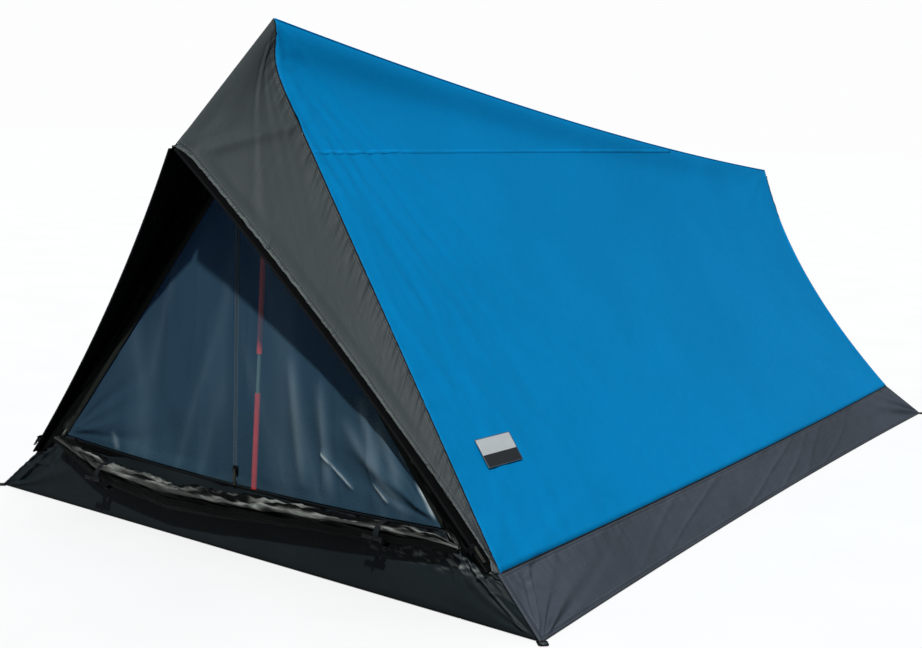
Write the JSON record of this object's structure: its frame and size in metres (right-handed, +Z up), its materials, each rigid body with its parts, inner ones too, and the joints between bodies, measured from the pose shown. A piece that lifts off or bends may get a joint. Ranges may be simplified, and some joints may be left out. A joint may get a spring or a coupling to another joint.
{
  "type": "ridge tent",
  "caption": "Low single-wall ridge tent on two upright poles, with a hooded mesh doorway and its outer door rolled down.",
  "frame": {"origin": "centre of the floor's length and width, on the ground", "axes": "+Y from the door to the rear, +X to the right seen from the door, +Z up"},
  "size_m": [1.2376, 2.1491, 0.8575],
  "materials": {
    "roof_cloth": "coated polyester taffeta, satin",
    "awning_cloth": "coated polyester taffeta, satin",
    "wall_cloth": "coated polyester, satin",
    "floor_cloth": "woven polyethylene",
    "door_cloth": "coated side out, glossy",
    "mesh": "fine insect mesh",
    "zip_tape": "woven tape with nylon coil",
    "slider_metal": "black lacquer",
    "pull_plastic": "moulded",
    "toggle_plastic": "moulded",
    "webbing": "narrow woven webbing",
    "pole_paint": "red powder coat",
    "spigot_steel": "zinc plated",
    "pole_plastic": "moulded",
    "patch_cloth": "doubled reinforcement",
    "eyelet_metal": "nickel plated",
    "label_cloth": "woven label, blank"
  },
  "bodies": {
    "shell": {"awning_left": "awning_cloth", "awning_right": "awning_cloth", "corner_eyelets": "eyelet_metal", "door_border_left": "awning_cloth", "door_border_right": "awning_cloth", "door_zip_left": "zip_tape", "door_zip_right": "zip_tape", "front_guy_loop": "webbing", "front_peak_cup": "patch_cloth", "front_pole_foot": "pole_plastic", "front_pole_lower": "pole_paint", "front_pole_seat": "patch_cloth", "front_sill": "wall_cloth", "front_spigot_lower": "spigot_steel", "groundsheet": "floor_cloth", "peg_tab_front_left": "webbing", "peg_tab_front_right": "webbing", "peg_tab_rear_left": "webbing", "peg_tab_rear_right": "webbing", "rear_gable": "awning_cloth", "rear_guy_loop": "webbing", "rear_peak_cup": "patch_cloth", "rear_pole_foot": "pole_plastic", "rear_pole_lower": "pole_paint", "rear_pole_seat": "patch_cloth", "rear_spigot": "spigot_steel", "rear_vent_hood": "awning_cloth", "rear_vent_mesh": "mesh", "rear_wall": "wall_cloth", "roll_tie_left": "webbing", "roll_tie_right": "webbing", "rolled_door": "door_cloth", "roof_lower_left": "roof_cloth", "roof_lower_right": "roof_cloth", "roof_upper_left": "roof_cloth", "roof_upper_right": "roof_cloth", "side_label": "label_cloth", "side_wall_left": "wall_cloth", "side_wall_right": "wall_cloth", "sill_zip": "zip_tape"},
    "mesh_door_left": {"mesh_door_left": "mesh", "mesh_zip_left": "zip_tape"},
    "mesh_door_right": {"mesh_door_right": "mesh", "mesh_zip_right": "zip_tape"},
    "mesh_slider": {"mesh_zip_slider": "slider_metal"},
    "mesh_pull": {"mesh_zip_pull": "pull_plastic"},
    "sill_slider": {"sill_zip_slider": "slider_metal"},
    "door_slider_left": {"door_zip_slider_left": "slider_metal"},
    "door_slider_right": {"door_zip_slider_right": "slider_metal"},
    "door_pull_left": {"door_zip_pull_left": "pull_plastic"},
    "door_pull_right": {"door_zip_pull_right": "pull_plastic"},
    "toggle_left": {"toggle_left": "toggle_plastic"},
    "toggle_right": {"toggle_right": "toggle_plastic"},
    "front_pole_middle": {"front_pole_middle": "pole_paint", "front_spigot_upper": "spigot_steel"},
    "front_pole_upper": {"front_pole_upper": "pole_paint", "front_pole_tip": "pole_plastic"},
    "rear_pole_upper": {"rear_pole_upper": "pole_paint", "rear_pole_tip": "pole_plastic"}
  },
  "joints": [
    {"name": "mesh_door_left_swing", "type": "hinge", "parent": "shell", "child": "mesh_door_left", "pos_m": [-0.424, -0.995, 0.125], "axis": [-0.64, 0, -0.7683], "range_deg": [0, 90]},
    {"name": "mesh_door_right_swing", "type": "hinge", "parent": "shell", "child": "mesh_door_right", "pos_m": [0.424, -0.995, 0.125], "axis": [-0.64, 0, 0.7683], "range_deg": [0, 90]},
    {"name": "mesh_zip_travel", "type": "slide", "parent": "mesh_door_right", "child": "mesh_slider", "axis": [0, 0, 1], "range_m": [0, 0.45]},
    {"name": "mesh_pull_swing", "type": "hinge", "parent": "mesh_slider", "child": "mesh_pull", "pos_m": [0.0048, -1.001, 0.137], "axis": [-1, 0, 0], "range_deg": [0, 150]},
    {"name": "sill_zip_travel", "type": "slide", "parent": "shell", "child": "sill_slider", "axis": [1, 0, 0], "range_m": [0, 0.8]},
    {"name": "door_zip_left_travel", "type": "hinge", "parent": "shell", "child": "door_slider_left", "pos_m": [-0.64254, -4.5103, -0.07071], "axis": [0.7496, 0, -0.6619], "range_deg": [0, 11.33]},
    {"name": "door_zip_right_travel", "type": "hinge", "parent": "shell", "child": "door_slider_right", "pos_m": [0.64254, -4.5103, -0.07071], "axis": [0.7496, 0, 0.6619], "range_deg": [0, 11.33]},
    {"name": "door_pull_left_swing", "type": "hinge", "parent": "door_slider_left", "child": "door_pull_left", "pos_m": [-0.48884, -1.0059, 0.11242], "axis": [0.045, 0.9977, 0.051], "range_deg": [0, 150]},
    {"name": "door_pull_right_swing", "type": "hinge", "parent": "door_slider_right", "child": "door_pull_right", "pos_m": [0.48884, -1.0059, 0.11242], "axis": [0.045, -0.9977, -0.051], "range_deg": [0, 150]},
    {"name": "toggle_left_turn", "type": "hinge", "parent": "shell", "child": "toggle_left", "pos_m": [-0.285, -1.04947, 0.07949], "axis": [0, -1, 0], "range_deg": [-85, 85]},
    {"name": "toggle_right_turn", "type": "hinge", "parent": "shell", "child": "toggle_right", "pos_m": [0.335, -1.0463, 0.104], "axis": [0, -1, 0], "range_deg": [-85, 85]},
    {"name": "front_pole_middle_slide", "type": "slide", "parent": "shell", "child": "front_pole_middle", "axis": [0, -0.0384, -0.9993], "range_m": [0, 0.06]},
    {"name": "front_pole_upper_slide", "type": "slide", "parent": "front_pole_middle", "child": "front_pole_upper", "axis": [0, -0.0384, -0.9993], "range_m": [0, 0.06]},
    {"name": "rear_pole_upper_slide", "type": "slide", "parent": "shell", "child": "rear_pole_upper", "axis": [0, -0.0087, -1], "range_m": [0, 0.06]}
  ]
}
